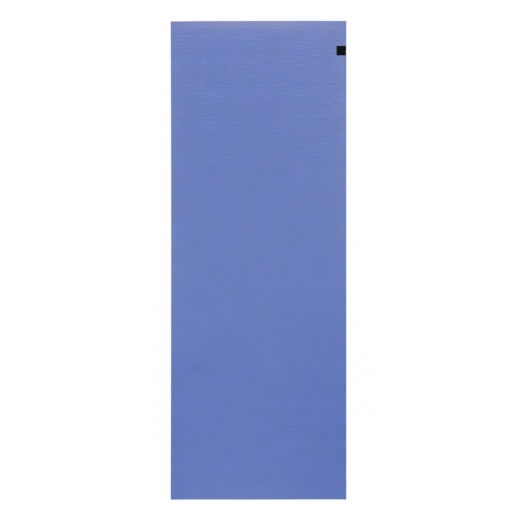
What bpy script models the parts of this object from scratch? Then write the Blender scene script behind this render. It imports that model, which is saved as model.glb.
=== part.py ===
"""A yoga mat lying flat: two foam rubber layers bonded to a scrim, which is an open mesh of yarns,
and a folded label stitched round one side with a lockstitch.

+Z is up, +Y runs along the mat to its head end, and the label wraps the +X side. The origin is
the centre of the underside. Lengths are in metres.
"""

import math

import bmesh
import bpy
from mathutils import Vector

# The cut outline, which the knife left a little short of a true rectangle
MAT_LENGTH = 1.8
MAT_WIDTH = 0.66
LEFT_SIDE_HOLLOW = 0.0019
LEFT_HOLLOW_FROM_HEAD = 0.77
HEAD_EDGE_DROP = 0.0023
FOOT_EDGE_RISE = 0.0012

# Each pair is a share of the mat's width from its left side, and a share of the edge's drop
HEAD_EDGE_SHARES = (
    (0.0, 1.0),
    (0.05, 0.97),
    (0.17, 0.5),
    (0.28, 0.39),
    (0.51, 0.28),
    (0.74, 0.0),
    (0.86, 0.13),
    (1.0, 0.26),
)
# The same for the foot edge, as a share of its rise
FOOT_EDGE_SHARES = (
    (0.0, 0.0),
    (0.07, 0.6),
    (0.5, 0.55),
    (0.85, 1.0),
    (1.0, 0.85),
)

# The layers, from the floor up; the top layer fills what is left of the thickness
MAT_THICKNESS = 0.005
BOTTOM_LAYER_THICKNESS = 0.0023
SCRIM_THICKNESS = 0.0003
BOND_LINE = 0.00005

# The label, a strip of woven tape folded round the right side
LABEL_THICKNESS = 0.00045
LABEL_LENGTH = 0.0355
LABEL_REACH = 0.0368
LABEL_FROM_HEAD = 0.0944
LABEL_PROUD = 0.0002
LABEL_SIDE_INSET = 0.0003
LABEL_FOLD_RADIUS = 0.0012
LABEL_CLEARANCE = 0.00005

# The lockstitch seam round the label
THREAD_RADIUS = 0.00014
THREAD_CLEARANCE = 0.00005
THREAD_FLOOR_GAP = 0.00012
STITCH_LENGTH = 0.0035
SEAM_INSET = 0.003
SEAM_FROM_SIDE = 0.0042

# Shares of the thread's radius: half the width of the loop in a needle hole, and the bend into it
LOOP_SHARE = 1.8
BEND_SHARE = 1.1

# How far every cutter runs past the surface that it cuts
CUT_OVERRUN = 0.004

# How finely the curves are drawn
SIDE_STEPS = 24
FOLD_STEPS = 5
LOOP_STEPS = 4
HOLE_SIDES = 6

# Linear colour, roughness
BLUE_RUBBER = ((0.112, 0.178, 0.476, 1.0), 0.6)
SCRIM_YARN = ((0.35, 0.41, 0.62, 1.0), 0.8)
BLACK_TAPE = ((0.004, 0.004, 0.0045, 1.0), 0.75)
BLACK_THREAD = ((0.006, 0.006, 0.0065, 1.0), 0.5)


def clear_scene():
    for old in list(bpy.data.objects):
        bpy.data.objects.remove(old, do_unlink=True)


def material(name, look):
    colour, roughness = look
    made = bpy.data.materials.new(name)
    made.use_nodes = True
    shader = made.node_tree.nodes["Principled BSDF"]
    shader.inputs["Base Color"].default_value = colour
    shader.inputs["Roughness"].default_value = roughness
    shader.inputs["Metallic"].default_value = 0.0
    made.diffuse_color = colour
    return made


def link(name, data, look=None, location=(0, 0, 0)):
    """A new object in the scene, as a piece with its own material or, with no look, as a cutter."""
    made = bpy.data.objects.new(name, data)
    bpy.context.scene.collection.objects.link(made)
    made.location = location
    if look:
        data.materials.append(material(name, look))
    else:
        made.hide_render = True
        made.display_type = "WIRE"
    return made


def extruded(name, outlines, offset):
    """A mesh with each closed outline swept along the offset into a solid."""
    shape = bmesh.new()
    for outline in outlines:
        face = shape.faces.new([shape.verts.new(point) for point in outline])
        swept = bmesh.ops.extrude_face_region(shape, geom=[face])["geom"]
        corners = [item for item in swept if isinstance(item, bmesh.types.BMVert)]
        bmesh.ops.translate(shape, vec=offset, verts=corners)
    bmesh.ops.recalc_face_normals(shape, faces=shape.faces)
    mesh = bpy.data.meshes.new(name)
    shape.to_mesh(mesh)
    shape.free()
    return mesh


def cut(piece, cutter):
    """The Boolean stays on the piece as a live modifier."""
    modifier = piece.modifiers.new(cutter.name, "BOOLEAN")
    modifier.operation = "DIFFERENCE"
    modifier.object = cutter


def left_side():
    """Points up the left side, hollow where the knife wandered in."""
    deepest = MAT_LENGTH / 2 - LEFT_HOLLOW_FROM_HEAD
    points = []
    for step in range(1, SIDE_STEPS):
        y = MAT_LENGTH * (step / SIDE_STEPS - 0.5)
        reach = MAT_LENGTH / 2 - deepest if y > deepest else MAT_LENGTH / 2 + deepest
        hollow = LEFT_SIDE_HOLLOW * (1 - ((y - deepest) / reach) ** 2)
        points.append((hollow - MAT_WIDTH / 2, y))
    return points


def mat_outline():
    """The cut outline in plan, anticlockwise from the foot end's left corner."""
    foot = [
        (MAT_WIDTH * (across - 0.5), FOOT_EDGE_RISE * rise - MAT_LENGTH / 2)
        for across, rise in FOOT_EDGE_SHARES
    ]
    head = [
        (MAT_WIDTH * (across - 0.5), MAT_LENGTH / 2 - HEAD_EDGE_DROP * drop)
        for across, drop in HEAD_EDGE_SHARES
    ]
    return foot + head[::-1] + left_side()[::-1]


def layer(name, low, high, look):
    plan = [(x, y, low) for x, y in mat_outline()]
    return link(name, extruded(name, [plan], (0, 0, high - low)), look)


def arc(centre, radius, start, end):
    """Points of an arc in the XZ plane, from the start angle to the end angle."""
    angles = [start + (end - start) * step / FOLD_STEPS for step in range(FOLD_STEPS + 1)]
    return [
        (centre[0] + radius * math.cos(angle), centre[1] + radius * math.sin(angle))
        for angle in angles
    ]


def label_levels():
    """The heights of the label's lower and upper outer faces."""
    lift = THREAD_FLOOR_GAP + 2 * THREAD_RADIUS + THREAD_CLEARANCE
    return lift, MAT_THICKNESS + LABEL_PROUD


def fold_path(depth):
    """The label's section along its outer face, or at a depth under it, from the upper leg's
    free end round the fold to the lower leg's."""
    lowest, highest = label_levels()
    end = MAT_WIDTH / 2 - LABEL_REACH
    turn = MAT_WIDTH / 2 - LABEL_SIDE_INSET - LABEL_FOLD_RADIUS
    radius = LABEL_FOLD_RADIUS - depth
    upper = arc((turn, highest - LABEL_FOLD_RADIUS), radius, math.pi / 2, 0)
    lower = arc((turn, lowest + LABEL_FOLD_RADIUS), radius, 0, -math.pi / 2)
    return [(end, highest - depth)] + upper + lower + [(end, lowest + depth)]


def label_place():
    """The label's middle, on the mat's centre line."""
    return Vector((0, MAT_LENGTH / 2 - LABEL_FROM_HEAD - LABEL_LENGTH / 2, 0))


def label():
    section = fold_path(0) + fold_path(LABEL_THICKNESS)[::-1]
    outline = [(x, -LABEL_LENGTH / 2, z) for x, z in section]
    mesh = extruded("label", [outline], (0, LABEL_LENGTH, 0))
    return link("label", mesh, BLACK_TAPE, label_place())


def label_pocket():
    """The room that the label takes out of the foam: all that lies outside its inner face."""
    inner = fold_path(LABEL_THICKNESS + LABEL_CLEARANCE)
    end = MAT_WIDTH / 2 - LABEL_REACH - LABEL_CLEARANCE
    inner[0] = (end, inner[0][1])
    inner[-1] = (end, inner[-1][1])
    past_side = MAT_WIDTH / 2 + CUT_OVERRUN
    past_top = MAT_THICKNESS + CUT_OVERRUN
    outer = [(end, -CUT_OVERRUN), (past_side, -CUT_OVERRUN), (past_side, past_top), (end, past_top)]
    half = LABEL_LENGTH / 2 + LABEL_CLEARANCE
    outline = [(x, -half, z) for x, z in inner + outer]
    mesh = extruded("label_pocket", [outline], (0, 2 * half, 0))
    return link("label_pocket", mesh, location=label_place())


def seam_holes():
    """Each needle hole round the seam, as its place and the seam's direction there."""
    near = MAT_WIDTH / 2 - SEAM_FROM_SIDE
    far = MAT_WIDTH / 2 - LABEL_REACH + SEAM_INSET
    half = LABEL_LENGTH / 2 - SEAM_INSET
    corners = [Vector(c) for c in ((far, -half, 0), (near, -half, 0), (near, half, 0), (far, half, 0))]
    holes = []
    for index, start in enumerate(corners):
        end = corners[(index + 1) % len(corners)]
        arriving = (start - corners[index - 1]).normalized()
        leaving = (end - start).normalized()
        count = max(1, round((end - start).length / STITCH_LENGTH))
        holes.append((start, (arriving + leaving).normalized()))
        holes += [(start.lerp(end, step / count), leaving) for step in range(1, count)]
    return holes


def needle_holes():
    """Straight prisms through label, foam and scrim, one for each hole of the seam."""
    clear = LOOP_SHARE * THREAD_RADIUS + THREAD_RADIUS + THREAD_CLEARANCE
    radius = clear / math.cos(math.pi / HOLE_SIDES)
    outlines = []
    for place, _ in seam_holes():
        corners = [2 * math.pi * side / HOLE_SIDES for side in range(HOLE_SIDES)]
        outlines.append(
            [
                (place.x + radius * math.cos(a), place.y + radius * math.sin(a), -CUT_OVERRUN)
                for a in corners
            ]
        )
    mesh = extruded("needle_holes", outlines, (0, 0, MAT_THICKNESS + 2 * CUT_OVERRUN))
    return link("needle_holes", mesh, location=label_place())


def stitch_path(run_height, spread):
    """A thread's centre line: it runs on the label's face from hole to hole, and in each hole
    it turns round the other thread at half the mat's thickness. The spread gives the
    direction in which a hole's two legs stand apart."""
    middle = MAT_THICKNESS / 2
    inward = 1 if run_height < middle else -1
    loop = LOOP_SHARE * THREAD_RADIUS
    bend = BEND_SHARE * THREAD_RADIUS
    points = []
    for place, along in seam_holes():
        apart = spread(along) * loop
        points.append(place - apart - along * bend + Vector((0, 0, run_height)))
        points.append(place - apart + Vector((0, 0, run_height + inward * bend)))
        for step in range(LOOP_STEPS + 1):
            angle = math.pi * step / LOOP_STEPS
            height = middle + inward * loop * math.sin(angle)
            points.append(place - apart * math.cos(angle) + Vector((0, 0, height)))
        points.append(place + apart + Vector((0, 0, run_height + inward * bend)))
        points.append(place + apart + along * bend + Vector((0, 0, run_height)))
    return points


def thread(name, run_height, spread):
    """One closed tube along the whole seam."""
    points = stitch_path(run_height, spread)
    curve = bpy.data.curves.new(name, "CURVE")
    curve.dimensions = "3D"
    curve.bevel_depth = THREAD_RADIUS
    curve.bevel_resolution = 1
    spline = curve.splines.new("POLY")
    spline.points.add(len(points) - 1)
    for slot, point in zip(spline.points, points):
        slot.co = (*point, 1)
    spline.use_cyclic_u = True
    return link(name, curve, BLACK_THREAD, label_place())


def across(along):
    return Vector((-along.y, along.x, 0))


def lengthwise(along):
    return along


def build():
    clear_scene()
    scrim_low = BOTTOM_LAYER_THICKNESS + BOND_LINE
    scrim_high = scrim_low + SCRIM_THICKNESS
    foam = [
        layer("bottom_layer", 0, BOTTOM_LAYER_THICKNESS, BLUE_RUBBER),
        layer("scrim", scrim_low, scrim_high, SCRIM_YARN),
        layer("top_layer", scrim_high + BOND_LINE, MAT_THICKNESS, BLUE_RUBBER),
    ]
    tape = label()
    pocket = label_pocket()
    holes = needle_holes()
    for piece in foam:
        cut(piece, pocket)
    for piece in foam + [tape]:
        cut(piece, holes)
    lowest, highest = label_levels()
    stand_off = THREAD_CLEARANCE + THREAD_RADIUS
    thread("needle_thread", highest + stand_off, across)
    thread("bobbin_thread", lowest - stand_off, lengthwise)


build()
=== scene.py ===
"""The looks of the yoga mat: rippled foam rubber, its scrim, the woven label and its stitches.

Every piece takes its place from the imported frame. +Z is up, +Y runs to the mat's head end, and the
label wraps the +X side. Lengths are in metres.
"""

import math

import bmesh
import bpy
import numpy as np
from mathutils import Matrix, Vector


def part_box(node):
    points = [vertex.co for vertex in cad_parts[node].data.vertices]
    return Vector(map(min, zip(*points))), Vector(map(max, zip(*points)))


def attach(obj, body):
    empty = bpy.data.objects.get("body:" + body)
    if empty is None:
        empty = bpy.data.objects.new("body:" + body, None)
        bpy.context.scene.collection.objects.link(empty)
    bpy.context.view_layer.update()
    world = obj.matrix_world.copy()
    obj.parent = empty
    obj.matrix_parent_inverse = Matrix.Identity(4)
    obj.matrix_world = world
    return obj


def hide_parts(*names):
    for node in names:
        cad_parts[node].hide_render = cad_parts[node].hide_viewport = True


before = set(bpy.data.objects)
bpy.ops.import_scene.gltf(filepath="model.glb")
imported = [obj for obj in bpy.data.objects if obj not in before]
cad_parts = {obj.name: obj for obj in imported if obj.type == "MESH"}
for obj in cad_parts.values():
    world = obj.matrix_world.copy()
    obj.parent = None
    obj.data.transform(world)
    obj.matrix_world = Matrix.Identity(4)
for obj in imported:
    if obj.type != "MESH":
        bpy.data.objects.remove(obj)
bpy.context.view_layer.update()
mat_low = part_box("bottom_layer")[0]
mat_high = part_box("top_layer")[1]
label_low, label_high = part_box("label")

# The photograph's frame, seen from straight above: its size, the place at its middle, the lens and
# sensor in millimetres, and how far the camera sees
PHOTO_PIXELS = 520
METRES_PER_PIXEL = 0.0037575
VIEW_CENTRE = (0.0057, 0.0010)
LENS = 70.0
SENSOR = 36.0
VIEW_REACH = 100.0

# The ripple pressed into each face, whose crests the mesh's rows follow: pitch, depth, rows to a
# ripple, columns across the mat, and the face's share of the swell
TOP_RIPPLE = (0.0030, 0.00016, 3, 40, 1.0)
FLOOR_RIPPLE = (0.0056, 0.0003, 6, 28, 0.35)

# Irregular waves: how many, the shortest and the longest, how long their crests are, and their slope
MEANDER_WAVES = (12, 0.25, 0.9, 0.3, 1.0)
STRENGTH_WAVES = (40, 0.02, 0.2, 0.12, 1.0)
SWELL_WAVES = (90, 0.005, 0.02, 0.16, 0.055)

# How far the crests meander, and how near to the ends and the label that starts to fade
MEANDER = 0.0024
MEANDER_FADE = 0.03

# How strong the ripple is from place to place, as a share of its depth
STRENGTH_MIDDLE = 0.75
STRENGTH_SPREAD = 0.3
STRENGTH_RANGE = (0.2, 1.3)

# The broader, irregular swell under the ripple: how deep it gets, and how much that flattens it
SWELL_DEPTH = 0.0006
SWELL_FLATTENING = 2

# The cut edge: how far in from it, and how far the skin is pulled down there
EDGE_IN = (0.0, 0.0003, 0.001, 0.0028)
EDGE_DOWN = (0.00028, 0.00012, 0.00003, 0.0)

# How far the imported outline's points on one side lie from its outermost one, at the most
EDGE_REACH = 0.004

# How far the pocket's cutter runs past the foam
CUT_OVERRUN = 0.004

# A face is a cut side where its normal rises or falls by less than this, edges that turn more than
# this stay sharp, and faces with more corners than this are split
CUT_SLOPE = 0.5
SHARP_ANGLE = math.radians(50)
QUAD_CORNERS = 4

# The bake map, in shares of its width: its margin, the outer face's two halves, and the columns
BAKE_EDGE = 0.004
BAKE_HALF_WIDTH = 0.46
BAKE_HALF_PITCH = 0.468
BAKE_COLUMNS = 0.945
BAKE_COLUMN_WIDTH = 0.007
BAKE_COLUMN_PITCH = 0.0105

# The scrim's flat yarns, and how far in from the mat's edge they start
YARN_PITCH = 0.002
YARN_WIDTH = 0.0007
YARN_THICKNESS = 0.00014
YARN_FRAY = 0.00012
YARN_WANDER = 0.00018
YARN_MARGIN = 0.004

# A yarn's faces, by its corners, which are counted by end, then by side, then by level
YARN_FACES = ((0, 1, 3, 2), (4, 6, 7, 5), (0, 4, 5, 1), (2, 3, 7, 6), (0, 2, 6, 4), (1, 5, 7, 3))

# The label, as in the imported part
LABEL_THICKNESS = 0.00045
LABEL_CLEARANCE = 0.00005
LABEL_FOLD_RADIUS = 0.0012

# How deep the foam is pressed at the label, how far from it the ripple is back, and the mesh's
# columns on the way
LABEL_SEAT = 0.00022
LABEL_CALM = 0.006
CALM_COLUMNS = 4

# How finely the label is drawn, from what share of its half thickness up a point is on its face, and
# how full its two cut ends are
LABEL_STEP = 0.0005
FOLD_STEPS = 7
RIM_STEPS = 4
FACE_SHARE = 0.99
END_FULLNESS = 0.3

# The label's face pillows between the stitches, and sinks at the seam and at each needle hole
PILLOW_RISE = 0.0001
PILLOW_REACH = 0.0021
SEAM_SINK = 0.00008
SEAM_SPREAD = 0.0007
HOLE_SINK = 0.00016
HOLE_SPREAD = 0.0005

# The seam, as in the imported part
SEAM_INSET = 0.003
SEAM_FROM_SIDE = 0.0042
STITCH_LENGTH = 0.0035
THREAD_RADIUS = 0.00014
LOOP_SHARE = 1.8

# The thread's way through a hole, in shares of its loop: how far out it leaves the label's face,
# how deep it is at the hole's lip and in its throat, and its turn round the other thread
LANDING_SHARE = 3
LIP_SHARE = 0.3
THROAT_SHARE = 2.5
TURN_WIDTH_SHARE = 0.6
TURN_DEPTH_SHARE = 0.8

# How the thread's corners are cut: the share off both ends of each straight stretch, and how often
CORNER_SHARE = 0.25
CORNER_CUTS = 2

# The thread's twisted plies: each one's share of the thread's radius, the length of a whole turn,
# the step along it, and the sides of its tube
PLY_COUNT = 3
PLY_SHARE = 0.52
PLY_TURN = 0.0011
PLY_STEP = 0.00016
PLY_SIDES = 5

# A direction that no thread starts along
OFF_THREAD = (0.3, 0.5, 0.8)

# The start of all random draws
SEED = 20


def add_object(name, points, faces):
    """A new smooth object from an array of points and a list of faces."""
    mesh = bpy.data.meshes.new(name)
    mesh.from_pydata(np.asarray(points, float).tolist(), [], faces)
    mesh.update()
    mesh.shade_smooth()
    made = bpy.data.objects.new(name, mesh)
    bpy.context.scene.collection.objects.link(made)
    return made


def add_attribute(piece, name, values):
    """A named value for each of the piece's points."""
    layer = piece.data.attributes.new(name, "FLOAT", "POINT")
    layer.data.foreach_set("value", np.asarray(values, np.float32).ravel())


def smoothstep(value):
    """A rise from 0 to 1 that starts and ends level."""
    value = np.clip(value, 0, 1)
    return value * value * (3 - 2 * value)


def random_waves(rng, count, short, long, crest, slope):
    """Waves that run along Y, with crests about as long as given, each as steep as the others."""
    length = np.exp(rng.uniform(math.log(short), math.log(long), count))
    height = slope * math.sqrt(2 / count) * length / math.tau
    turn = rng.normal(0, math.tau / crest, count)
    return np.stack([turn, math.tau / length, rng.uniform(0, math.tau, count), height], axis=1)


def wave_sum(waves, x, y):
    """How high all the waves together stand at each point."""
    return sum(height * np.cos(turn * x + along * y + phase) for turn, along, phase, height in waves)


def cut_edge(axis, sign):
    """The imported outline's place on one side of the mat, as a function of the place along it."""
    points = np.array([v.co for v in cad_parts["top_layer"].data.vertices])[:, :2]
    limit = (sign * points[:, axis]).max()
    near = points[sign * points[:, axis] > limit - EDGE_REACH]
    order = np.argsort(near[:, 1 - axis])
    near = near[order]
    return lambda where: np.interp(where, near[:, 1 - axis], near[:, axis])


left_edge = cut_edge(0, -1)
foot_edge = cut_edge(1, -1)
head_edge = cut_edge(1, 1)


def label_distance(x, y):
    """How far each point lies from the label's footprint."""
    off_x = np.maximum(label_low.x - x, 0)
    off_y = np.maximum(np.maximum(label_low.y - y, y - label_high.y), 0)
    return np.hypot(off_x, off_y)


def spread(length, count):
    """Places from 0 to 1 across a length: close together at both cut edges, then even."""
    rim = np.array(EDGE_IN) / length
    return np.concatenate([rim[:-1], np.linspace(rim[-1], 1 - rim[-1], count + 1), 1 - rim[-2::-1]])


def face_grid(pitch, rows_each, columns_wanted, rng):
    """The places of a face's points, in rows that follow the ripple's meandering crests from side
    to side, and how far from the mat's nearer end each point would lie without the meander."""
    size = mat_high - mat_low
    beside = label_low.x - mat_low.x - LABEL_CALM * np.linspace(0, 1, CALM_COLUMNS)
    u = np.sort(np.concatenate([spread(size.x, columns_wanted), beside / size.x]))
    v = spread(size.y, round(size.y / pitch) * rows_each)
    across, along = np.meshgrid(u, v)
    x = mat_low.x + size.x * across
    y = foot_edge(x) + along * (head_edge(x) - foot_edge(x))
    from_end = np.minimum(y - mat_low.y, mat_high.y - y)
    meander = wave_sum(random_waves(rng, *MEANDER_WAVES), x, y)
    free = smoothstep(from_end / MEANDER_FADE) * smoothstep(label_distance(x, y) / MEANDER_FADE)
    y = y + MEANDER * meander / meander.std() * free
    x = left_edge(y) + across * (mat_high.x - left_edge(y))
    return x, y, from_end


def face_depth(x, y, depth, rows_each, swell_share, rng):
    """How far the ripple and the swell sink each point of a face."""
    row = np.arange(len(x)) - (len(EDGE_IN) - 1)
    hollow = (1 - np.cos(math.tau * row / rows_each)) / 2
    strength = wave_sum(random_waves(rng, *STRENGTH_WAVES), x, y)
    strength = np.clip(STRENGTH_MIDDLE + STRENGTH_SPREAD * strength / strength.std(), *STRENGTH_RANGE)
    ripple = depth * hollow[:, None] * strength
    swell = wave_sum(random_waves(rng, *SWELL_WAVES), x, y)
    swell = np.tanh(SWELL_FLATTENING * swell / SWELL_DEPTH)
    return ripple + swell_share * SWELL_DEPTH * (1 + swell) / 2


def strip(a, b):
    """Quads between two lines of points, first to last."""
    return np.stack([a[:-1], a[1:], b[1:], b[:-1]], axis=-1).reshape(-1, 4).tolist()


def slab(x, y, outer):
    """Points and faces of a layer, from the grid of its outer face: that face, the cut sides round
    it, and a level back that has points only along its rim."""
    rows, columns = x.shape
    rims = (np.s_[:, 0], np.s_[:, -1], np.s_[0, 1:-1], np.s_[-1, 1:-1])
    back_x, back_y = [np.concatenate([plane[rim] for rim in rims]) for plane in (x, y)]
    back_z = np.full(len(back_x), (mat_high.z + mat_low.z) / 2)
    back = np.stack([back_x, back_y, back_z], axis=-1)
    points = np.concatenate([np.stack([x, y, outer], axis=-1).reshape(-1, 3), back])

    grid = np.arange(x.size).reshape(rows, columns)
    rim_ends = np.cumsum([rows, rows, columns - 2])
    left, right, foot, head = np.split(np.arange(x.size, len(points)), rim_ends)
    skin = np.stack([grid[:-1, :-1], grid[:-1, 1:], grid[1:, 1:], grid[1:, :-1]], axis=-1)
    faces = skin.reshape(-1, 4).tolist() + strip(grid[:, 0], left) + strip(right, grid[:, -1])
    faces += strip([left[0], *foot, right[0]], grid[0])
    faces += strip(grid[-1], [left[-1], *head, right[-1]])
    end = len(EDGE_IN)
    faces += strip(left[end - 1 : 1 - end], right[end - 1 : 1 - end])
    faces.append([*left[:end], *right[:end][::-1], *foot[::-1]])
    faces.append([*left[-end:], *head, *right[-end:][::-1]])
    return points, faces


def rippled_layer(name, node, up, ripple, rng):
    """One foam layer: rippled on its outer face, cut square at its sides, and flat where it is
    bonded. up is 1 for the practice side and -1 for the floor side."""
    pitch, depth, rows_each, columns_wanted, swell_share = ripple
    x, y, from_end = face_grid(pitch, rows_each, columns_wanted, rng)
    sunk = face_depth(x, y, depth, rows_each, swell_share, rng)
    relief = 1 - sunk / (depth + swell_share * SWELL_DEPTH)
    from_edge = np.minimum(from_end, np.minimum(x - left_edge(y), mat_high.x - x))
    down = np.interp(from_edge, EDGE_IN, EDGE_DOWN)
    calm = smoothstep(label_distance(x, y) / LABEL_CALM)
    down = LABEL_SEAT + (sunk - LABEL_SEAT) * calm + down
    points, faces = slab(x, y, (mat_high if up > 0 else mat_low).z - up * down)
    if up < 0:
        faces = [face[::-1] for face in faces]
    piece = add_object(name, points, faces)
    piece.data.set_sharp_from_angle(angle=SHARP_ANGLE)
    add_attribute(piece, "relief", np.pad(relief.ravel(), (0, len(points) - relief.size)))
    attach(piece, "root")
    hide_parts(node)
    return piece


def fold_path(depth):
    """Points along the label's section from the upper leg's free end, round the fold, to the
    lower leg's, at a depth under its outer face, with the outward direction at each."""
    radius = LABEL_FOLD_RADIUS
    turn = label_high.x - radius
    leg = np.linspace(label_low.x, turn, math.ceil((turn - label_low.x) / LABEL_STEP) + 1)[:-1]
    drop = label_high.z - label_low.z - 2 * radius
    side = np.linspace(0, drop, math.ceil(drop / LABEL_STEP) + 1)[1:-1]
    upper = [(x, label_high.z, 0, 1) for x in leg]
    for angle in np.linspace(math.pi / 2, 0, FOLD_STEPS + 1):
        out, rise = math.cos(angle), math.sin(angle)
        upper.append((turn + radius * out, label_high.z - radius + radius * rise, out, rise))
    fall = [(label_high.x, label_high.z - radius - s, 1, 0) for s in side]
    both = label_high.z + label_low.z
    lower = [(x, both - z, nx, -nz) for x, z, nx, nz in reversed(upper)]
    path = np.array(upper + fall + lower)
    path[:, :2] -= depth * path[:, 2:]
    return path


def cut_pocket(piece):
    """Cuts the label's room out of a foam layer: all that lies outside the label's inner face."""
    path = fold_path(LABEL_THICKNESS + LABEL_CLEARANCE)
    end = label_low.x - LABEL_CLEARANCE
    path[[0, -1], 0] = end
    past = mat_high.x + CUT_OVERRUN
    under, over = mat_low.z - CUT_OVERRUN, mat_high.z + CUT_OVERRUN
    corners = [(end, under), (past, under), (past, over), (end, over)]
    outline = np.concatenate([path[:, :2], corners])
    count = len(outline)
    low = np.insert(outline, 1, label_low.y - LABEL_CLEARANCE, axis=1)
    high = np.insert(outline, 1, label_high.y + LABEL_CLEARANCE, axis=1)
    faces = [list(range(count)), list(range(2 * count - 1, count - 1, -1))]
    faces += [[i, i + count, (i + 1) % count + count, (i + 1) % count] for i in range(count)]
    cutter = add_object("label_pocket", np.concatenate([low, high]), faces)
    modifier = piece.modifiers.new("label_pocket", "BOOLEAN")
    modifier.operation = "DIFFERENCE"
    modifier.solver = "MANIFOLD"
    modifier.object = cutter
    with bpy.context.temp_override(object=piece, active_object=piece):
        bpy.ops.object.modifier_apply(modifier=modifier.name)
    bpy.data.objects.remove(cutter, do_unlink=True)


def split_many_sided(piece):
    """Splits a piece's many-sided faces evenly into triangles."""
    shape = bmesh.new()
    shape.from_mesh(piece.data)
    many_sided = [face for face in shape.faces if len(face.verts) > QUAD_CORNERS]
    bmesh.ops.triangulate(shape, faces=many_sided)
    shape.to_mesh(piece.data)
    shape.free()


def read(items, name, kind=float, width=1):
    """One property of all the items, as an array."""
    values = np.empty(len(items) * width, kind)
    items.foreach_get(name, values)
    return values.reshape(-1, width) if width > 1 else values


def add_uv(piece, name, places):
    """A UV map from the place of each corner of each face."""
    layer = piece.data.uv_layers.new(name=name)
    layer.data.foreach_set("uv", places.astype(np.float32).ravel())


def mark_cut_sides(piece):
    """Gives the cut sides the second of the piece's materials."""
    normal = read(piece.data.polygons, "normal", width=3)
    steep = np.abs(normal[:, 2]) < CUT_SLOPE
    piece.data.polygons.foreach_set("material_index", steep.astype(np.int32))


def map_faces(piece, up):
    """Gives every face a place on the bake map: the outer face in two halves side by side, and
    the rest in narrow columns beside them."""
    mesh = piece.data
    normal = read(mesh.polygons, "normal", width=3)
    centre = read(mesh.polygons, "center", width=3)
    level = up * normal[:, 2]
    size = np.array(mat_high - mat_low)
    face = np.repeat(np.arange(len(centre)), read(mesh.polygons, "loop_total", np.int32))
    points = read(mesh.vertices, "co", width=3)[read(mesh.loops, "vertex_index", np.int32)]
    share = ((points - np.array(mat_low)) / size).clip(0, 1)
    upper_half = centre[face, 1] > 0
    sideways = np.abs(normal[face, 0]) > np.abs(normal[face, 1])
    far = np.where(sideways, centre[face, 0], centre[face, 1]) > 0
    u = BAKE_EDGE + BAKE_HALF_WIDTH * share[:, 0] + BAKE_HALF_PITCH * upper_half
    v = 2 * share[:, 1] - upper_half
    back = level[face] < -CUT_SLOPE
    cut = np.abs(level[face]) < CUT_SLOPE
    # Column 0 holds the back, and 1 to 4 hold the left, right, foot and head sides
    column = np.where(back, 0, 1 + 2 * ~sideways + far)
    rest = back | cut
    u = np.where(rest, BAKE_COLUMNS + BAKE_COLUMN_PITCH * column, u)
    u = np.where(rest, u + BAKE_COLUMN_WIDTH * np.where(cut, share[:, 2], share[:, 0]), u)
    v = np.where(rest, np.where(cut & ~sideways, share[:, 0], share[:, 1]), v)
    v = BAKE_EDGE + (1 - 2 * BAKE_EDGE) * v.clip(0, 1)
    add_uv(piece, "OFBake", np.stack([u, v], axis=1))


def seam_sides():
    """The seam's places across the mat: beside the fold, and near the label's free ends."""
    return mat_high.x - SEAM_FROM_SIDE, label_low.x + SEAM_INSET


def seam_span():
    """The label's middle along the mat, and the seam's reach to both sides of it."""
    return (label_low.y + label_high.y) / 2, (label_high.y - label_low.y) / 2 - SEAM_INSET


def label_relief(x, y, outward):
    """How far the label's face stands off its flat section: stitches draw it in, and it
    swells between them."""
    near, far = seam_sides()
    middle, half = seam_span()
    off_y = np.abs(y - middle)
    line_x = np.minimum(np.abs(x - near), np.abs(x - far)) + np.maximum(off_y - half, 0)
    line_y = np.abs(off_y - half) + np.maximum(far - x, 0) + np.maximum(x - near, 0)
    from_seam = np.minimum(line_x, line_y)
    rise = PILLOW_RISE * smoothstep(from_seam / PILLOW_REACH)
    rise -= SEAM_SINK * np.exp(-((from_seam / SEAM_SPREAD) ** 2))
    for hole, _ in seam_holes():
        rise -= HOLE_SINK * np.exp(-((np.hypot(x - hole[0], y - hole[1]) / HOLE_SPREAD) ** 2))
    return rise * np.abs(outward)


def seam_holes():
    """Each needle hole round the seam and the seam's direction there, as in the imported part."""
    near, far = seam_sides()
    middle, half = seam_span()
    low, high = middle - half, middle + half
    corners = np.array([(far, low), (near, low), (near, high), (far, high)])
    holes = []
    for index, start in enumerate(corners):
        end = corners[(index + 1) % len(corners)]
        side, before = end - start, start - corners[index - 1]
        leaving = side / np.hypot(*side)
        turn = leaving + before / np.hypot(*before)
        count = max(1, round(np.hypot(*side) / STITCH_LENGTH))
        holes.append((start, turn / np.hypot(*turn)))
        holes += [(start + side * step / count, leaving) for step in range(1, count)]
    return holes


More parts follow.
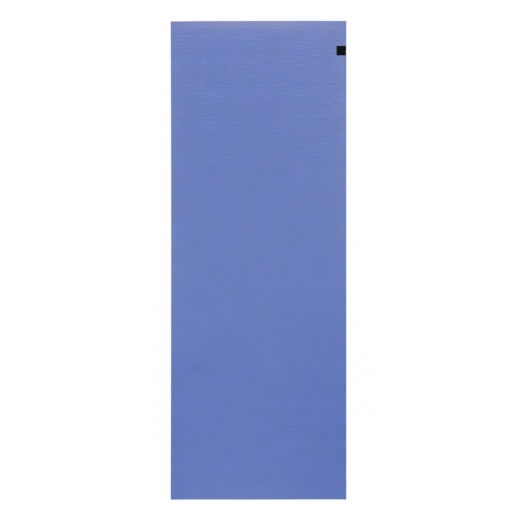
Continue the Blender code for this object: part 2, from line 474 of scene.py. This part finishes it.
def woven_label():
    """The tape as a closed sheet: a section across its length, rounded at both selvedges, swept
    along the fold."""
    path = fold_path(0)
    turned = label_high.y - label_low.y
    width = np.linspace(0, 1, math.ceil(turned / LABEL_STEP) + 1)
    rim = np.linspace(0, math.pi, RIM_STEPS + 2)[1:-1]
    bulge = LABEL_THICKNESS / 2
    y = label_low.y + bulge + (turned - 2 * bulge) * width
    steps = np.hypot(*np.diff(path[:, :2], axis=0).T)
    walked = np.concatenate([[0], np.cumsum(steps)])
    from_end = np.minimum(walked, walked[-1] - walked)
    fullness = np.sqrt(1 - (1 - np.clip(from_end / bulge, 0, 1)) ** 2).clip(END_FULLNESS, 1)
    loop_y = np.concatenate([y, y[-1] + bulge * np.sin(rim), y[::-1], y[0] - bulge * np.sin(rim)])
    level = np.concatenate([np.ones(len(y)), np.cos(rim), -np.ones(len(y)), -np.cos(rim)])
    points, places = [], []
    for (x, z, nx, nz), full, along in zip(path, fullness, walked):
        rise = label_relief(x, loop_y, nz) * (level > FACE_SHARE) * full
        depth = bulge - bulge * full * level - rise
        points.append(np.stack([x - depth * nx, loop_y, z - depth * nz], axis=-1))
        places.append(np.stack([np.full(len(loop_y), along), loop_y], axis=-1))
    points = np.array(points)
    sections, around = points.shape[:2]
    index = np.arange(sections * around).reshape(sections, around)
    after = np.roll(index, -1, axis=1)
    faces = np.stack([index[:-1], index[1:], after[1:], after[:-1]], axis=-1).reshape(-1, 4).tolist()
    faces += [index[0].tolist(), index[-1, ::-1].tolist()]
    piece = add_object("woven_label", points.reshape(-1, 3), faces)
    corners = read(piece.data.loops, "vertex_index", np.int32)
    add_uv(piece, "Weave", np.array(places).reshape(-1, 2)[corners])
    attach(piece, "root")
    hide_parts("label")
    return piece


def stitch_route(face, inward, spread_out):
    """A thread's centre line, hole by hole: along the label's face, down into the hole, round
    the other thread at the mat's middle and back. It starts and ends inside the first hole.
    spread_out sets its two legs in a hole across the seam, not along it."""
    middle = (mat_high.z + mat_low.z) / 2
    loop = LOOP_SHARE * THREAD_RADIUS
    turn_height = middle + TURN_DEPTH_SHARE * inward * loop
    stations = []
    for hole, along in seam_holes():
        apart = loop * (np.array([-along[1], along[0]]) if spread_out else along)
        entry, leave = [
            [
                (hole + way * apart + way * along * LANDING_SHARE * loop, face),
                (hole + way * apart + way * along * loop, face + LIP_SHARE * inward * loop),
                (hole + way * apart, face + THROAT_SHARE * inward * loop),
                (hole + way * apart, middle),
                (hole + way * TURN_WIDTH_SHARE * apart, turn_height),
            ]
            for way in (-1, 1)
        ]
        stations += entry + leave[::-1]
    start = len(entry)
    route = stations[start:] + stations[: start + 1]
    return np.array([(*place, height) for place, height in route])


def rounded(route, step):
    """The route with its corners cut off, then points at an even step along it."""
    for _ in range(CORNER_CUTS):
        a, b = route[:-1], route[1:]
        after = (1 - CORNER_SHARE) * a + CORNER_SHARE * b
        before = CORNER_SHARE * a + (1 - CORNER_SHARE) * b
        route = np.stack([after, before], axis=1).reshape(-1, 3)
    walked = np.concatenate([[0], np.cumsum(np.linalg.norm(np.diff(route, axis=0), axis=1))])
    even = np.linspace(0, walked[-1], round(walked[-1] / step) + 1)
    return np.stack([np.interp(even, walked, route[:, axis]) for axis in range(3)], axis=-1)


def carried_frames(line):
    """Two directions across the line at each point, carried along it without spinning."""
    ahead = np.gradient(line, axis=0)
    ahead /= np.linalg.norm(ahead, axis=1)[:, None]
    side = np.cross(ahead[0], OFF_THREAD)
    sides = []
    for way in ahead:
        side = side - way * (side @ way)
        side = side / np.linalg.norm(side)
        sides.append(side)
    sides = np.array(sides)
    return sides, np.cross(ahead, sides)


def tube(line, radius, first):
    """Points and faces of a tube with closed ends, its points numbered from first."""
    side, up = carried_frames(line)
    angle = (np.arange(PLY_SIDES) * math.tau / PLY_SIDES)[None, :, None]
    ring = radius * (np.cos(angle) * side[:, None] + np.sin(angle) * up[:, None])
    points = (line[:, None] + ring).reshape(-1, 3)
    index = first + np.arange(len(points)).reshape(-1, PLY_SIDES)
    after = np.roll(index, -1, axis=1)
    faces = np.stack([index[:-1], after[:-1], after[1:], index[1:]], axis=-1).reshape(-1, 4).tolist()
    return points, faces + [index[0, ::-1].tolist(), index[-1].tolist()]


def twisted_thread(name, node, face, inward, spread_out):
    """A sewing thread of twisted plies along the whole seam."""
    line = rounded(stitch_route(face, inward, spread_out), PLY_STEP)
    side, up = carried_frames(line)
    turn = math.tau * PLY_STEP / PLY_TURN * np.arange(len(line))
    ply_radius = PLY_SHARE * THREAD_RADIUS
    offset = THREAD_RADIUS - ply_radius
    points, faces = [], []
    for ply in range(PLY_COUNT):
        angle = (turn + math.tau * ply / PLY_COUNT)[:, None]
        strand = line + offset * (np.cos(angle) * side + np.sin(angle) * up)
        more, quads = tube(strand, ply_radius, sum(map(len, points)))
        points.append(more)
        faces += quads
    piece = add_object(name, np.concatenate(points), faces)
    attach(piece, "root")
    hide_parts(node)
    return piece


def yarn(start, end, height, half_width):
    """The corners of a flat yarn from start to end, widened by half its width to both sides."""
    half = YARN_THICKNESS / 2
    return [
        (place[0] + side * half_width[0], place[1] + side * half_width[1], height + level)
        for place in (start, end)
        for side in (-1, 1)
        for level in (-half, half)
    ]


def scrim_net(rng):
    """The scrim as a laid net of flat yarns, whose cut ends fray a hair past the mat's sides."""
    box_low, box_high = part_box("scrim")
    middle = (box_low.z + box_high.z) / 2
    lift = YARN_THICKNESS / 2
    inner = label_high.x - LABEL_THICKNESS - LABEL_CLEARANCE
    points, faces = [], []
    for x in np.arange(mat_low.x + YARN_MARGIN, mat_high.x - YARN_PITCH / 2, YARN_PITCH):
        x += rng.uniform(-YARN_WANDER, YARN_WANDER)
        foot, head = foot_edge(x) - YARN_FRAY, head_edge(x) + YARN_FRAY
        # The corners of a yarn widened along X go round the other way
        faces += [[len(points) + corner for corner in reversed(face)] for face in YARN_FACES]
        points += yarn((x, foot), (x, head), middle + lift, (YARN_WIDTH / 2, 0))
    for y in np.arange(mat_low.y + YARN_MARGIN, mat_high.y - YARN_MARGIN, YARN_PITCH):
        y += rng.uniform(-YARN_WANDER, YARN_WANDER)
        beside = label_low.y - YARN_WIDTH < y < label_high.y + YARN_WIDTH
        end = inner - YARN_FRAY if beside else mat_high.x + YARN_FRAY
        faces += [[len(points) + corner for corner in face] for face in YARN_FACES]
        points += yarn((left_edge(y) - YARN_FRAY, y), (end, y), middle - lift, (0, YARN_WIDTH / 2))
    piece = add_object("scrim_net", points, faces)
    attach(piece, "root")
    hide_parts("scrim")
    return piece


# The foam's colour, linear, and the same deepened by painted shade towards the foot end, and the
# places along the mat between which one turns into the other
MIDDLE_BLUE = (0.1125, 0.1803, 0.478)
FOOT_SHADED_BLUE = (0.1005, 0.1650, 0.482)
FOOT_SHADE_FROM = 0.17
FOOT_SHADE_TO = -0.7

# What each paling adds to the colour at its edge, and how far in it reaches: painted sheen at the
# head and foot ends, and a paler tint along the sides
# Painted sheen: a narrow pale band along the head edge, strongest at its middle
HEAD_EDGE_SHEEN = (0.079, 0.052, 0.010)
HEAD_EDGE_SHEEN_REACH = 0.030
HEAD_EDGE_SHEEN_HALF_WIDTH = 0.36
# Painted sheen: a broad pale haze fading from the head end
HEAD_SHEEN = (0.022, 0.012, 0.0)
HEAD_SHEEN_REACH = 0.33
# A paler tint along both long sides, towards the head end
SIDE_PALING = (0.014, 0.012, 0.007)
SIDE_PALING_REACH = 0.045
# Painted sheen: a pale haze fading from the foot end
FOOT_SHEEN = (0.012, 0.011, 0.0)
FOOT_SHEEN_REACH = 0.13

# Painted light and shade: how fast each channel rises towards the head end and the label's side,
# and falls towards the foot end on that side, and the place along the mat where it rises no more
LABEL_SIDE_LIGHT_DRIFT = (0.47, 0.34, 0.09)
LIGHT_DRIFT_TO = 0.42

# Each noise: how much longer its cells are across the mat than along it, cells in a metre, detail
STREAK_NOISE = (22.0, 480.0, 3.0)
BREAK_NOISE = (2.5, 190.0, 2.0)
BAND_NOISE = (12.0, 25.0, 2.0)
SPECKLE_NOISE = (1.6, 420.0, 1.5)
GRAIN_NOISE = (1.6, 1500.0, 3.0)
CREASE_NOISE = (12.0, 520.0, 2.0)
TAPE_NOISE = (1.0, 900.0, 2.0)
THREAD_NOISE = (1.0, 9000.0, 2.0)
YARN_NOISE = (1.0, 5000.0, 2.0)
CELL_SIZE_NOISE = (1.0, 700.0, 2.0)
NOISE_MIDDLE = 0.5

# Across each streak, from its lit side to its shaded side
STREAK_ACROSS = 0.0039

# How far the streaks come and go along their length, the contrast all over of their painted light
# and shade, and the bands' share
STREAK_BREAKS = 7.7
STREAK_SHADE_TONE = 0.014
BAND_SHARE = 0.32

# Where the streaks' painted light and shade is strongest, near the head end and near the foot end:
# contrast, and its rise to the label's side, place along the mat, lean to that side, and reach
HEAD_STREAK_SHADE = (0.45, 0.30, 0.65, -0.2, 0.34)
FOOT_STREAK_SHADE = (0.31, 1.2, -0.68, 0.35, 0.27)

# How much lighter the ripple's crests are, as painted light on them and painted shade in the hollows,
# how much lighter the specks are, and the height that changes nothing
RELIEF_SHADE_TONE = 0.03
RELIEF_MIDDLE = 0.6
SPECKLE_TONE = 0.14

# Blotches in the pigment: each one's noise, the two tints it runs between, and the share of it
# that shows only in the head end's patch of strongest painted streak shading. The shift sets each
# one's noise off from the last.
BLOTCHES = (
    ((1.0, 22.0, 4.0), (0.84, 1.03, 1.0), (1.16, 0.97, 1.0), 0.0),
    ((1.0, 12.0, 4.0), (1.0, 1.0, 0.91), (1.0, 1.0, 1.09), 0.0),
    ((1.2, 14.0, 4.0), (0.955, 0.955, 0.955), (1.045, 1.045, 1.045), 0.0),
    ((1.5, 300.0, 1.0), (0.60, 1.09, 1.0), (1.40, 0.91, 1.0), 0.5),
    ((1.5, 260.0, 1.0), (1.0, 1.0, 0.78), (1.0, 1.0, 1.22), 0.0),
)
BLOTCH_SHIFT = (3.0, 5.0, 7.0)

# Faint marks: each one's place on the mat, its reach across and along it, and the tint at its
# middle. The first is a smudge, the next three are slight presses, the next three darken three
# corners, and the rest are broad.
MARKS = (
    ((-0.233, -0.401), (0.045, 0.022), (0.86, 0.90, 0.98)),
    ((0.101, -0.644), (0.022, 0.018), (0.925, 0.95, 0.985)),
    ((0.073, -0.147), (0.040, 0.014), (0.96, 0.967, 1.02)),
    ((-0.211, -0.144), (0.048, 0.021), (0.955, 0.957, 1.0)),
    ((-0.325, 0.860), (0.05, 0.06), (0.965, 0.94, 0.94)),
    ((0.325, 0.870), (0.05, 0.06), (0.975, 0.94, 0.94)),
    ((-0.320, -0.865), (0.06, 0.06), (0.94, 0.945, 0.985)),
    ((-0.245, 0.755), (0.08, 0.07), (0.99, 1.012, 1.04)),
    ((-0.150, 0.500), (0.10, 0.22), (0.985, 0.99, 1.01)),
    ((0.043, 0.358), (0.13, 0.20), (0.965, 0.972, 0.968)),
    ((-0.280, -0.170), (0.12, 0.20), (1.036, 1.044, 1.025)),
    ((-0.260, -0.580), (0.12, 0.15), (1.02, 1.012, 1.022)),
    ((0.210, -0.830), (0.11, 0.08), (0.94, 0.955, 0.98)),
)

# How far each bump stands up
STREAK_RELIEF = 0.0007
CREASE_RELIEF = 0.00016
GRAIN_RELIEF = 0.00006
CELL_RELIEF = 0.0001
WEAVE_RELIEF = 0.00004
THREAD_RELIEF = 0.00002
YARN_RELIEF = 0.00003

# Roughness: where each pattern is 0, and how much it adds where it is 1
SKIN_ROUGHNESS = (0.54, 0.16)
CUT_ROUGHNESS = (0.9, -0.2)
TAPE_ROUGHNESS = (0.75, -0.1)
THREAD_ROUGHNESS = (0.4, 0.2)
YARN_ROUGHNESS = (0.65, 0.2)

# How strongly each surface mirrors, where 0.5 is usual
SKIN_GLOSS = 0.4
CUT_GLOSS = 0.25
TAPE_GLOSS = 0.025
THREAD_GLOSS = 0.12
YARN_GLOSS = 0.3

# The cut side's open cells: how many in a metre, how much their sizes vary, where their painted
# shade starts and stops, and how dark it gets
CELLS_IN_METRE = 3600.0
CELL_VARIETY = 0.9
CELL_DEEP = 0.0
CELL_SHALLOW = 0.45
CELL_SHADE = 0.55

# The tape's satin weave: how far apart its yarns are, how each warp yarn shifts the weft's pattern
# and how much of it shows, and how much the weave and the fuzz lighten the tape
WARP_PITCH = 0.00022
WEFT_PITCH = 0.0009
WEFT_STAGGER = 2.4
WEFT_SHARE = 0.35
WEAVE_LIGHT = 0.4
FUZZ_LIGHT = 0.5

# The dark and light ends of each yarn's colours
TAPE_COLOURS = ((0.0022, 0.0021, 0.0024), (0.006, 0.0056, 0.0064))
THREAD_COLOURS = ((0.003, 0.003, 0.0033), (0.009, 0.009, 0.01))
YARN_COLOURS = ((0.30, 0.36, 0.58), (0.40, 0.46, 0.66))

WHITE = (1, 1, 1, 1)

# The Mix node's sockets for colours: the share, the two colours and the result
MIX_SHARE = 0
MIX_FIRST = 6
MIX_SECOND = 7
MIX_RESULT = 2


def new_material(name):
    """A material without any nodes yet, and its tree."""
    made = bpy.data.materials.new(name)
    made.use_nodes = True
    made.node_tree.nodes.clear()
    return made, made.node_tree


def add(tree, kind, settings=None, sockets=None):
    """A node with its settings, and its sockets given a value or joined to another's output."""
    made = tree.nodes.new("ShaderNode" + kind)
    for key, value in (settings or {}).items():
        setattr(made, key, value)
    for key, value in (sockets or {}).items():
        if isinstance(value, bpy.types.NodeSocket):
            tree.links.new(value, made.inputs[key])
        else:
            made.inputs[key].default_value = value
    return made


def calc(tree, operation, a, b=0.0, c=0.0):
    """A number worked out from up to three others."""
    return add(tree, "Math", {"operation": operation}, {0: a, 1: b, 2: c}).outputs[0]


def ramp(tree, course, value, start, end, low=0.0, high=1.0):
    """A number that goes from low to high as the value goes from start to end."""
    sockets = {"Value": value, "From Min": start, "From Max": end, "To Min": low, "To Max": high}
    return add(tree, "MapRange", {"interpolation_type": course}, sockets).outputs[0]


def colour_mix(tree, share, a, b, blend="MIX"):
    """A share of colour b mixed into colour a, each a constant or another node's output."""
    a, b = [value if isinstance(value, bpy.types.NodeSocket) else (*value, 1) for value in (a, b)]
    settings = {"data_type": "RGBA", "blend_type": blend}
    sockets = {MIX_SHARE: share, MIX_FIRST: a, MIX_SECOND: b}
    return add(tree, "Mix", settings, sockets).outputs[MIX_RESULT]


def noise(tree, place, kind):
    """Noise from 0 to 1 whose cells are longer along X than along Y by the stretch."""
    stretch, scale, detail = kind
    squeezed = add(tree, "Mapping", None, {"Vector": place, "Scale": (1 / stretch, 1, 1)}).outputs[0]
    sockets = {"Vector": squeezed, "Scale": scale, "Detail": detail}
    return add(tree, "TexNoise", None, sockets).outputs["Fac"]


def moved(tree, place, shift):
    """The place a fixed way off from each place."""
    return add(tree, "VectorMath", {"operation": "ADD"}, {0: place, 1: shift}).outputs[0]


def off_middle(tree, pattern, amount, base, middle=NOISE_MIDDLE):
    """The base plus an amount of the pattern's difference from its middle."""
    return calc(tree, "MULTIPLY_ADD", calc(tree, "SUBTRACT", pattern, middle), amount, base)


def finish_material(tree, colour, reliefs, roughness, gloss):
    """A Principled surface with bumps, each a pattern from 0 to 1 and its height in metres. The
    last pattern roughens it too."""
    height = 0.0
    for pattern, size in reliefs:
        height = calc(tree, "MULTIPLY_ADD", pattern, size, height)
    normal = add(tree, "Bump", None, {"Height": height, "Strength": 1.0, "Distance": 1.0}).outputs[0]
    rough = calc(tree, "MULTIPLY_ADD", reliefs[-1][0], roughness[1], roughness[0])
    sockets = {"Base Color": colour, "Roughness": rough, "Normal": normal, "Specular IOR Level": gloss}
    shader = add(tree, "BsdfPrincipled", None, sockets)
    output = add(tree, "OutputMaterial")
    tree.links.new(shader.outputs[0], output.inputs[0])


def bell(tree, value, centre, reach):
    """1 at the centre, falling away on both sides of it."""
    off = calc(tree, "DIVIDE", calc(tree, "SUBTRACT", value, centre), reach)
    return calc(tree, "EXPONENT", calc(tree, "MULTIPLY", calc(tree, "MULTIPLY", off, off), -1.0))


def decay(tree, distance, reach):
    """1 at no distance, falling away over the reach and beyond it."""
    return calc(tree, "EXPONENT", calc(tree, "DIVIDE", distance, -reach))


def foam_colour(tree, place):
    """Blue made paler and pinker at the head end and paler at the foot end by painted sheen, deeper
    towards the foot end by painted shade, lighter and darker on the label's side by painted light
    and shade, and paler along the sides towards the head end.
    """
    x, y, _ = add(tree, "SeparateXYZ", None, {0: place}).outputs
    from_head = calc(tree, "SUBTRACT", mat_high.y, y)
    from_foot = calc(tree, "SUBTRACT", y, mat_low.y)
    from_side = calc(tree, "SUBTRACT", mat_high.x, calc(tree, "ABSOLUTE", x))
    # Painted shade: the blue deepens towards the foot end
    foot_shading = ramp(tree, "SMOOTHSTEP", y, FOOT_SHADE_FROM, FOOT_SHADE_TO)
    colour = colour_mix(tree, foot_shading, MIDDLE_BLUE, FOOT_SHADED_BLUE)
    headward = calc(tree, "SUBTRACT", 1.0, foot_shading)
    off_centre = calc(tree, "DIVIDE", x, HEAD_EDGE_SHEEN_HALF_WIDTH)
    central = calc(tree, "SUBTRACT", 1.0, calc(tree, "MULTIPLY", off_centre, off_centre))
    # Painted sheen at the head edge and at both ends, and a paler tint along the sides
    palings = (
        (calc(tree, "MULTIPLY", bell(tree, from_head, 0.0, HEAD_EDGE_SHEEN_REACH), central), HEAD_EDGE_SHEEN),
        (decay(tree, from_head, HEAD_SHEEN_REACH), HEAD_SHEEN),
        (calc(tree, "MULTIPLY", bell(tree, from_side, 0.0, SIDE_PALING_REACH), headward), SIDE_PALING),
        (decay(tree, from_foot, FOOT_SHEEN_REACH), FOOT_SHEEN),
    )
    for share, paling in palings:
        colour = colour_mix(tree, share, colour, paling, "ADD")
    # Painted light and shade: lighter towards the head and darker towards the foot on the label's side
    light_drift = calc(tree, "MULTIPLY", calc(tree, "MAXIMUM", x, 0.0), calc(tree, "MINIMUM", y, LIGHT_DRIFT_TO))
    light_tints = [calc(tree, "MULTIPLY_ADD", light_drift, rate, 1.0) for rate in LABEL_SIDE_LIGHT_DRIFT]
    return toned(tree, colour, *light_tints)


def toned(tree, colour, red, green, blue):
    """The colour with each of its channels multiplied."""
    tone = add(tree, "CombineXYZ", None, {0: red, 1: green, 2: blue}).outputs[0]
    return colour_mix(tree, 1.0, colour, tone, "MULTIPLY")


def mottled(tree, place, colour, head_patch):
    """The colour with pinkish, greenish and bluish blotches, from broad ones to flecks."""
    for kind, low, high, near_head in BLOTCHES:
        tint = colour_mix(tree, noise(tree, place, kind), low, high)
        share = calc(tree, "MULTIPLY_ADD", head_patch, near_head, 1 - near_head)
        colour = colour_mix(tree, share, colour, tint, "MULTIPLY")
        place = moved(tree, place, BLOTCH_SHIFT)
    return colour


def marked(tree, place, colour):
    """The colour with its faint marks."""
    x, y, _ = add(tree, "SeparateXYZ", None, {0: place}).outputs
    for (middle_x, middle_y), (across, along), tint in MARKS:
        share = calc(tree, "MULTIPLY", bell(tree, x, middle_x, across), bell(tree, y, middle_y, along))
        colour = colour_mix(tree, share, colour, tint, "MULTIPLY")
    return colour


def streak_shade_patch(tree, place, kind):
    """One patch's strength of painted streak shading at each place, and its shape alone."""
    contrast, rise, centre, lean, reach = kind
    x, y, _ = add(tree, "SeparateXYZ", None, {0: place}).outputs
    shape = bell(tree, calc(tree, "MULTIPLY_ADD", x, -lean, y), centre, reach)
    strength = calc(tree, "MULTIPLY_ADD", x, contrast * rise, contrast)
    return calc(tree, "MULTIPLY", shape, strength), shape


def foam_skin():
    """The moulded skin: drawn-out streaks and creases over a fine grain, with painted light and shade
    on the streaks' sides and on the ripple's crests and hollows.
    """
    made, tree = new_material("foam_skin")
    place = add(tree, "TexCoord").outputs["Object"]
    relief = add(tree, "Attribute", {"attribute_name": "relief"}).outputs["Fac"]
    streak = noise(tree, place, STREAK_NOISE)
    speckle = noise(tree, place, SPECKLE_NOISE)
    grain = noise(tree, place, GRAIN_NOISE)
    crease = noise(tree, place, CREASE_NOISE)
    # Painted streak shading: its strength in a patch near the head end and one near the foot end
    near_head, head_patch = streak_shade_patch(tree, place, HEAD_STREAK_SHADE)
    near_foot, _ = streak_shade_patch(tree, place, FOOT_STREAK_SHADE)
    streak_shading = calc(tree, "ADD", calc(tree, "ADD", near_head, near_foot), STREAK_SHADE_TONE)
    beyond = moved(tree, place, (0, STREAK_ACROSS, 0))
    slope = calc(tree, "SUBTRACT", streak, noise(tree, beyond, STREAK_NOISE))
    breaks = off_middle(tree, noise(tree, place, BREAK_NOISE), STREAK_BREAKS, 1.0)
    slope = calc(tree, "MULTIPLY", slope, breaks)
    slope = off_middle(tree, noise(tree, place, BAND_NOISE), BAND_SHARE, slope)
    # Painted light and shade: each streak's lit side lighter and its shaded side darker
    tone = calc(tree, "MULTIPLY_ADD", slope, streak_shading, 1.0)
    # Painted light and shade on the ripple: crests lighter, hollows darker
    tone = off_middle(tree, relief, RELIEF_SHADE_TONE, tone, RELIEF_MIDDLE)
    tone = off_middle(tree, speckle, SPECKLE_TONE, tone)
    colour = marked(tree, place, mottled(tree, place, foam_colour(tree, place), head_patch))
    colour = toned(tree, colour, tone, tone, tone)
    reliefs = ((streak, STREAK_RELIEF), (crease, CREASE_RELIEF), (grain, GRAIN_RELIEF))
    finish_material(tree, colour, reliefs, SKIN_ROUGHNESS, SKIN_GLOSS)
    return made


def foam_cut():
    """The knife-cut side, open cells and all, with painted shade deep in the cells."""
    made, tree = new_material("foam_cut")
    place = add(tree, "TexCoord").outputs["Object"]
    sockets = {"Vector": place, "Scale": CELLS_IN_METRE}
    cells = add(tree, "TexVoronoi", None, sockets).outputs["Distance"]
    varied = off_middle(tree, noise(tree, place, CELL_SIZE_NOISE), CELL_VARIETY, cells)
    # Painted shade: darker deep in each open cell
    shade = ramp(tree, "LINEAR", varied, CELL_DEEP, CELL_SHALLOW, CELL_SHADE)
    colour = toned(tree, foam_colour(tree, place), shade, shade, shade)
    finish_material(tree, colour, ((cells, CELL_RELIEF),), CUT_ROUGHNESS, CUT_GLOSS)
    return made


def tape():
    """Satin-woven polyester: long warp floats over a fine weft."""
    made, tree = new_material("woven_tape")
    place = add(tree, "UVMap", {"uv_map": "Weave"}).outputs[0]
    along, across, _ = add(tree, "SeparateXYZ", None, {0: place}).outputs
    ends = calc(tree, "DIVIDE", across, WARP_PITCH)
    warp = calc(tree, "ABSOLUTE", calc(tree, "SINE", calc(tree, "MULTIPLY", ends, math.tau)))
    stagger = calc(tree, "MULTIPLY", calc(tree, "FLOOR", ends), WEFT_STAGGER)
    weft = calc(tree, "SINE", calc(tree, "MULTIPLY_ADD", along, math.tau / WEFT_PITCH, stagger))
    weave = calc(tree, "MULTIPLY_ADD", weft, WEFT_SHARE, warp)
    fuzz = noise(tree, place, TAPE_NOISE)
    lit = calc(tree, "MULTIPLY_ADD", fuzz, FUZZ_LIGHT, calc(tree, "MULTIPLY", weave, WEAVE_LIGHT))
    colour = colour_mix(tree, lit, *TAPE_COLOURS)
    finish_material(tree, colour, ((weave, WEAVE_RELIEF),), TAPE_ROUGHNESS, TAPE_GLOSS)
    return made


def fibrous(name, kind, colours, relief, roughness, gloss):
    """A yarn or thread: its colour, bump and roughness all follow its fibres."""
    made, tree = new_material(name)
    fibre = noise(tree, add(tree, "TexCoord").outputs["Object"], kind)
    finish_material(tree, colour_mix(tree, fibre, *colours), ((fibre, relief),), roughness, gloss)
    return made


def camera():
    """Straight above, with the mat as large as in the photograph."""
    data = bpy.data.cameras.new("camera")
    data.lens = LENS
    data.sensor_width = SENSOR
    data.clip_end = VIEW_REACH
    made = bpy.data.objects.new("camera", data)
    bpy.context.scene.collection.objects.link(made)
    distance = PHOTO_PIXELS * METRES_PER_PIXEL * LENS / SENSOR
    made.location = (VIEW_CENTRE[0], VIEW_CENTRE[1], mat_high.z + distance)
    bpy.context.scene.camera = made


# The lamps: place, the tilt about X that aims it, size along its own X and Y, and power
OVERHEAD = ((0, 0, 2.0), 0, (1.6, 1.2), 15.3)
HEAD_LAMP = ((0, 2.1, 0.4), -1.352, (2.0, 0.4), 18.9)
FOOT_LAMP = ((0, -2.1, 0.4), 1.352, (2.0, 0.4), 13.5)

# How strongly the white surroundings light things, where 1 is as white as they show
WORLD_FILL = 0.54

# The white floor: its size, its gap under the mat, how far out the mat's shadow is let show, and the
# share of plain white in the floor right beside the mat
FLOOR_SIZE = 60.0
FLOOR_GAP = 0.0002
FLOOR_SHADED_REACH = 0.35
FLOOR_SHOWN = 0.86


def lamp(name, place, tilt, size, power):
    """A rectangular lamp that the camera can't see."""
    data = bpy.data.lights.new(name, "AREA")
    data.shape = "RECTANGLE"
    data.size, data.size_y = size
    data.energy = power
    made = bpy.data.objects.new(name, data)
    made.location = place
    made.rotation_euler = (tilt, 0, 0)
    made.visible_camera = False
    bpy.context.scene.collection.objects.link(made)


def shown_rays(tree):
    """1 for rays that show the background as it is: camera, glossy and transmission rays."""
    path = add(tree, "LightPath").outputs
    seen = calc(tree, "MAXIMUM", path["Is Camera Ray"], path["Is Glossy Ray"])
    return calc(tree, "MAXIMUM", seen, path["Is Transmission Ray"])


def surroundings():
    """White that shows as pure white and lights the mat a little less."""
    world = bpy.context.scene.world or bpy.data.worlds.new("studio")
    bpy.context.scene.world = world
    world.use_nodes = True
    tree = world.node_tree
    tree.nodes.clear()
    strength = calc(tree, "MULTIPLY_ADD", shown_rays(tree), 1 - WORLD_FILL, WORLD_FILL)
    sky = add(tree, "Background", None, {"Color": WHITE, "Strength": strength})
    tree.links.new(sky.outputs[0], add(tree, "OutputWorld").inputs[0])


def white_floor():
    """A white that takes a little of the mat's shadow beside it, and none farther out."""
    made, tree = new_material("white_floor")
    diffuse = add(tree, "BsdfDiffuse", None, {"Color": WHITE}).outputs[0]
    glow = add(tree, "Emission", None, {"Color": WHITE, "Strength": 1.0}).outputs[0]
    x, y, _ = add(tree, "SeparateXYZ", None, {0: add(tree, "TexCoord").outputs["Object"]}).outputs
    beside = calc(tree, "SUBTRACT", calc(tree, "ABSOLUTE", x), mat_high.x)
    beyond = calc(tree, "SUBTRACT", calc(tree, "ABSOLUTE", y), mat_high.y)
    away = calc(tree, "MAXIMUM", beside, beyond)
    shown = ramp(tree, "SMOOTHSTEP", away, 0.0, FLOOR_SHADED_REACH, FLOOR_SHOWN)
    share = calc(tree, "MULTIPLY", shown_rays(tree), shown)
    mixed = add(tree, "MixShader", None, {0: share, 1: diffuse, 2: glow}).outputs[0]
    tree.links.new(mixed, add(tree, "OutputMaterial").inputs[0])
    return made


def studio():
    """The white surroundings, the floor and the three lamps."""
    surroundings()
    half = FLOOR_SIZE / 2
    corners = [(-half, -half, 0), (half, -half, 0), (half, half, 0), (-half, half, 0)]
    floor = add_object("floor", corners, [(0, 1, 2, 3)])
    floor.location.z = mat_low.z - FLOOR_GAP
    floor.data.materials.append(white_floor())
    for name, values in (("overhead", OVERHEAD), ("head_lamp", HEAD_LAMP), ("foot_lamp", FOOT_LAMP)):
        lamp(name, *values)


def dress(pieces, *materials):
    """Gives every piece these materials in place of its own."""
    for piece in pieces:
        piece.data.materials.clear()
        for material in materials:
            piece.data.materials.append(material)


def build():
    """The camera, the six pieces with their materials, and the studio."""
    rng = np.random.default_rng(SEED)
    camera()
    top = rippled_layer("top_foam", "top_layer", 1, TOP_RIPPLE, rng)
    bottom = rippled_layer("bottom_foam", "bottom_layer", -1, FLOOR_RIPPLE, rng)
    foam = (foam_skin(), foam_cut())
    for layer, up in ((top, 1), (bottom, -1)):
        cut_pocket(layer)
        split_many_sided(layer)
        dress([layer], *foam)
        mark_cut_sides(layer)
        map_faces(layer, up)
    net = scrim_net(rng)
    label = woven_label()
    above = label_high.z + THREAD_RADIUS / 2
    below = label_low.z - THREAD_RADIUS / 2
    needle = twisted_thread("needle_stitches", "needle_thread", above, -1, True)
    bobbin = twisted_thread("bobbin_stitches", "bobbin_thread", below, 1, False)
    dress([label], tape())
    coated = (YARN_NOISE, YARN_COLOURS, YARN_RELIEF, YARN_ROUGHNESS, YARN_GLOSS)
    dress([net], fibrous("coated_yarn", *coated))
    spun = (THREAD_NOISE, THREAD_COLOURS, THREAD_RELIEF, THREAD_ROUGHNESS, THREAD_GLOSS)
    dress([needle, bobbin], fibrous("spun_thread", *spun))
    studio()


build()
bpy.context.scene.view_settings.view_transform = "Standard"
